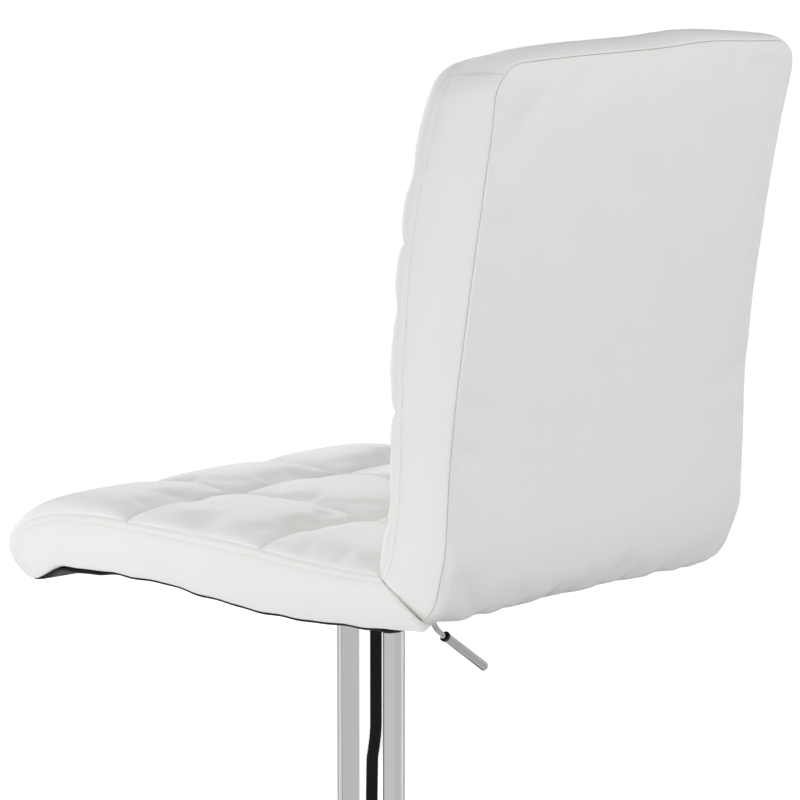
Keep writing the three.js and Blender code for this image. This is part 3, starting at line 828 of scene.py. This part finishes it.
def plainFromTree(name, points, tree, values, material):
    # runs a tree on a wire and keeps the result as a plain mesh
    mesh = bpy.data.meshes.new(name + "Wire")
    edges = [(k, k + 1) for k in range(len(points) - 1)]
    mesh.from_pydata((np.asarray(points) * mm).tolist(), edges, [])
    wire = bpy.data.objects.new(name + "Wire", mesh)
    step = wire.modifiers.new("nodes", "NODES")
    step.node_group = tree
    for item in tree.interface.items_tree:
        if item.in_out == "INPUT" and item.name in values:
            step[item.identifier] = values[item.name]
    scene.collection.objects.link(wire)
    made = bpy.data.meshes.new_from_object(wire.evaluated_get(bpy.context.evaluated_depsgraph_get()))
    wire.modifiers.remove(step)
    bpy.data.objects.remove(wire)
    made.name = name
    made.materials.clear()
    made.materials.append(material)
    piece = bpy.data.objects.new(name, made)
    scene.collection.objects.link(piece)
    return piece


stitching = {"pitch": 4.0, "length": 2.9, "thread": 0.6, "proud": 0.1}


def sewRow(name, cover, points, outward):
    # lays a row of points on the cover's skin, standing proud by a little, and sews along it
    graph = bpy.context.evaluated_depsgraph_get()
    skin = BVHTree.FromObject(cover.evaluated_get(graph), graph)
    laid = []
    for point, way in zip(points, outward):
        hit = skin.ray_cast(Vector(point) * mm + Vector(way) * 0.02, -Vector(way), 0.04)[0]
        laid.append(np.array(hit) / mm + way * stitching["proud"] if hit else point)
    values = {key: stitching[key.lower()] * mm for key in ("Pitch", "Length", "Thread")}
    return plainFromTree(name, laid, stitchNodes, values, thread)


stitchNodes, barNodes = stitchTree(), barTree()
seatThread = sewRow("seatTopStitch", seatCover, *seatSewing)
backThread = sewRow("backTopStitch", backCover, *backSewing)
for piece, node in ((seatCover, "seat_cushion"), (backCover, "back_cushion"), (backPanel, "back_panel")):
    finishPiece(piece, "seat", "white_leather", node)
finishPiece(liningSheet, "seat", "black_cloth", "dust_cover")
for piece in (seatThread, backThread):
    finishPiece(piece, "seat", "white_leather")
print("stage: sewing thread")


def sweptBar(name, path, radius, step, material, body, node):
    values = {"Radius": radius * mm, "Step": step * mm}
    piece = plainFromTree(name, evenLine(path, 240), barNodes, values, material)
    faceOutwards(piece)
    piece.data.set_sharp_from_angle(angle=math.radians(50))
    finishPiece(piece, body, "polished_chrome", node)


def turned(name, node, profile, body="base", sides=128):
    # a turned chrome piece that stands for a node on the column's axis
    finishPiece(turnedPiece(name, profile, chrome, sides), body, "polished_chrome", node)


def tube(name, node, inner, edge, outer=None, **where):
    low, high = boxMm(node)
    outer = outer or high[0]
    section = [(inner, low[2]), (outer, low[2]), (outer, high[2]), (inner, high[2])]
    turned(name, node, roundedProfile(section, edge), **where)


foot = {"neck": 25.6, "neckBase": 27, "flare": 34.0, "low": 17.0, "rise": 55.0, "wall": 1.6,
        "radii": [26.5, 28, 30, 33, 37, 42, 48, 56, 66, 78, 92, 108, 126, 146, 166, 182, 192],
        # the rolled rim, over the top and back under it
        "rim": [(197, 16.3), (201, 14.6), (203.6, 12.2), (205, 9), (205, 4.2), (204.6, 3.5), (203.8, 3.4),
                (202.8, 4.2), (202.4, 9), (200, 12)]}


def dishHeight(r):
    return foot["low"] + foot["rise"] * math.exp((foot["neckBase"] - r) / foot["flare"])


def makeFoot():
    # spun steel dish: a trumpet neck that runs out to a rolled rim
    outline = [(r, dishHeight(r)) for r in [foot["neck"], *foot["radii"]]] + foot["rim"]
    outline += [(r, dishHeight(r) - foot["wall"]) for r in foot["radii"][::-1]]
    turned("footDish", "base_dish", outline + [(foot["neck"], dishHeight(foot["neckBase"]) - 4)], sides=192)
    tube("trimRing", "column_trim_ring", 25.4, 2.2, outer=boxMm("column_trim_ring")[1][0] - 0.05)


hoop = {"height": 227.0, "radius": 11.0, "front": (0, -255),
        "side": [(14, -24), (26, -54), (72, -84), (117, -128), (126, -182), (88, -236)]}


def makeColumn():
    tube("lowerColumn", "column_tube", 23.5, 0.5, outer=25)
    tube("hoopCollar", "footrest_collar", 25.35, 1.2)
    tube("coverSleeve", "cover_sleeve", 26.35, 0.4, outer=27.5, body="seat", sides=160)
    route = [*hoop["side"], hoop["front"], *((-x, y) for x, y in hoop["side"][::-1])]
    sweptBar("footHoop", [(*place, hoop["height"]) for place in route], hoop["radius"], 4.0, chrome, "base",
             "footrest_hoop")


lever = {
    "wire": [(6, 550.7), (-18, 550.7), (-40, 550.7), (-58, 550.5), (-67, 547), (-72.5, 540), (-74.5, 528),
             (-77, 512), (-82.5, 499), (-92, 490), (-104, 482.6), (-126, 468.8), (-147, 455.5)],
    "gripFrom": (-98, 486.5), "gripTo": (-151, 452.8), "gripRadius": 4.1, "wireRadius": 2.5,
    "ringRadius": 4.6,
}


def alongGrip(points):
    # turns a piece made about Z so that it lies along the lever's grip
    start = Vector((lever["gripFrom"][0], 0, lever["gripFrom"][1]))
    way = Vector((lever["gripTo"][0], 0, lever["gripTo"][1])) - start
    turn = np.array(Vector((0, 0, 1)).rotation_difference(way).to_matrix())
    return points @ turn.T + np.array(start)


def makeLever():
    wire = [(x, 0, z) for x, z in lever["wire"]]
    sweptBar("leverWire", wire, lever["wireRadius"], 1.5, leverChrome, "lever", "lever_rod")
    length = math.dist(lever["gripFrom"], lever["gripTo"])
    r = lever["gripRadius"]
    # a thin tube pressed over the wire, its outer end spun to a dome
    outline = [(2.6, 0.8), (2.7, 0.2), (r - 0.5, 0.0), (r - 0.1, 0.3), (r, 0.9), (r, 12), (r, 30)]
    outline += [(r * math.cos(t), length - 3.2 + 3.2 * math.sin(t)) for t in (0, 0.25, 0.5, 0.8, 1.1, 1.35)]
    outline += [(0, length), (0, length - 1.5), (2.55, length - 3.5)]
    grip = turnedPiece("leverGrip", outline, leverChrome, 48, bend=alongGrip)
    finishPiece(grip, "lever", "polished_chrome", "lever_grip")
    section = [(2.95, -2.6), (lever["ringRadius"], -2.6), (lever["ringRadius"], -0.4), (2.95, -0.4)]
    stop = turnedPiece("leverRing", roundedProfile(section, 0.7), nylon, 48, bend=alongGrip)
    finishPiece(stop, "lever", "black_nylon", "lever_ring")


makeFoot()
makeColumn()
makeLever()
print("stage: chrome")


studio = {
    "floorSize": 60.0, "ambient": 0.46, "floorGlow": 0.64,
    # area lights: place, size, watts; each points at the seat
    "lights": {"overhead": ((0.3, -0.9, 4.2), 3.6, 20), "frontSky": ((-0.6, -2.4, 1.6), 1.6, 30),
               "lowSide": ((1.2, -0.3, 0.36), 0.8, 6.1), "farSide": ((-2.6, -0.4, 0.8), 1.6, 10),
               "rearFill": ((0.2, 1.8, 1.3), 1.3, 11)},
    "aim": (0, 0, 0.75),
    # reflection cards: turn from the viewer's side, half width, brightness; seen only in the gloss
    "cards": {"whiteStrip": (-20.0, 18.0, 1.3), "blackFlag": (17.7, 19.7, 0.015),
              "darkEdge": (43.8, 2.0, 0.12), "greyRight": (65.8, 20.0, 0.66),
              "greyAcross": (106.0, 20.2, 0.6), "farLight": (138.0, 11.8, 0.85),
              "farDark": (162.0, 12.2, 0.03), "farWhite": (186.0, 11.8, 1.2),
              "farGrey": (209.0, 11.2, 0.5), "sideLight": (232.0, 11.8, 0.8),
              "thinDark": (245.8, 2.0, 0.3), "greyLeft": (284.8, 37.0, 0.61)},
    # the cards' section: they sweep in under the stool like a paper cove
    "cardSection": [(0.215, 0.001), (0.45, 0.02), (0.75, 0.06), (0.95, 0.12), (1.05, 0.2), (1.05, 0.22),
                    (1.05, 0.24), (1.05, 0.26), (1.05, 0.28), (1.05, 1.5)], "cardSteps": 24,
    # the black flag stands just inside the white strip and leans over low down
    "flagInside": 0.985, "swayBelow": 0.258, "swayOver": 0.06, "sway": 13.0, "mostLean": 15,
}


def glowMaterial(name, strength):
    # an evenly lit diffusing panel
    material = bpy.data.materials.new(name)
    material.use_nodes = True
    tree = material.node_tree
    tree.nodes.clear()
    glow = addNode(tree, "ShaderNodeEmission", {"Color": (1, 1, 1, 1), "Strength": strength})
    addNode(tree, "ShaderNodeOutputMaterial", {"Surface": glow.outputs[0]})
    return material


def makeStudio():
    scene.view_settings.view_transform = "Standard"
    world = bpy.data.worlds.new("studioWorld")
    scene.world = world
    world.use_nodes = True
    tree = world.node_tree
    # the room is a soft grey for the object and plain white behind it
    seen = addNode(tree, "ShaderNodeLightPath").outputs["Is Camera Ray"]
    strength = addNode(tree, "ShaderNodeMapRange", {"Value": seen, "To Min": studio["ambient"],
                                                    "To Max": 1.0}).outputs[0]
    tree.nodes["Background"].inputs[0].default_value = (1, 1, 1, 1)
    tree.links.new(strength, tree.nodes["Background"].inputs[1])
    half = studio["floorSize"] / 2 / mm
    # matt painted board, evenly lit
    board = makeFinish("paleStudioFloor", {
        "color": "#f6f6f6", "roughness": 0.6,
        "inputs": {"Emission Color": (1, 1, 1, 1), "Emission Strength": studio["floorGlow"],
                   "Specular IOR Level": 0},
        "textures": {"grain": ("Noise", 33.3, even, {})}, "bumps": [], "rough": (("grain",), 0.55, 0.65)})
    corners = [(-half, -half, -0.5), (half, -half, -0.5), (half, half, -0.5), (-half, half, -0.5)]
    floor = meshObject("studioFloor", corners, [(0, 1, 2, 3)], board)
    floor.visible_diffuse = False
    for name, (place, size, watts) in studio["lights"].items():
        data = bpy.data.lights.new(name, "AREA")
        data.shape, data.size, data.energy = "DISK", size, watts
        light = bpy.data.objects.new(name, data)
        light.location = place
        light.rotation_mode = "QUATERNION"
        light.rotation_quaternion = (Vector(studio["aim"]) - light.location).to_track_quat("-Z", "Y")
        light.visible_camera = False
        light.visible_glossy = name == "overhead"
        scene.collection.objects.link(light)
    viewer = math.radians(cameraSetup["azimuth"] - 90)
    section, steps = studio["cardSection"], studio["cardSteps"]
    for name, (turn, halfWidth, strength) in studio["cards"].items():
        points, isFlag = [], name == "blackFlag"
        for k in range(steps + 1):
            for radius, z in section:
                lean = studio["sway"] * max(0, (studio["swayBelow"] - z) / studio["swayOver"]) ** 1.4
                lean = min(lean, studio["mostLean"]) * isFlag
                angle = viewer + math.radians(turn - lean - halfWidth + 2 * halfWidth * k / steps)
                r = radius / mm * (studio["flagInside"] if isFlag else 1)
                points.append((r * math.cos(angle), r * math.sin(angle), z / mm))
        faces = gridFaces(steps + 1, len(section))
        card = meshObject(name, points, faces, glowMaterial(name, strength))
        card.visible_camera = card.visible_diffuse = card.visible_shadow = False
        card.visible_transmission = card.visible_volume_scatter = False


makeStudio()
print("stage: studio")
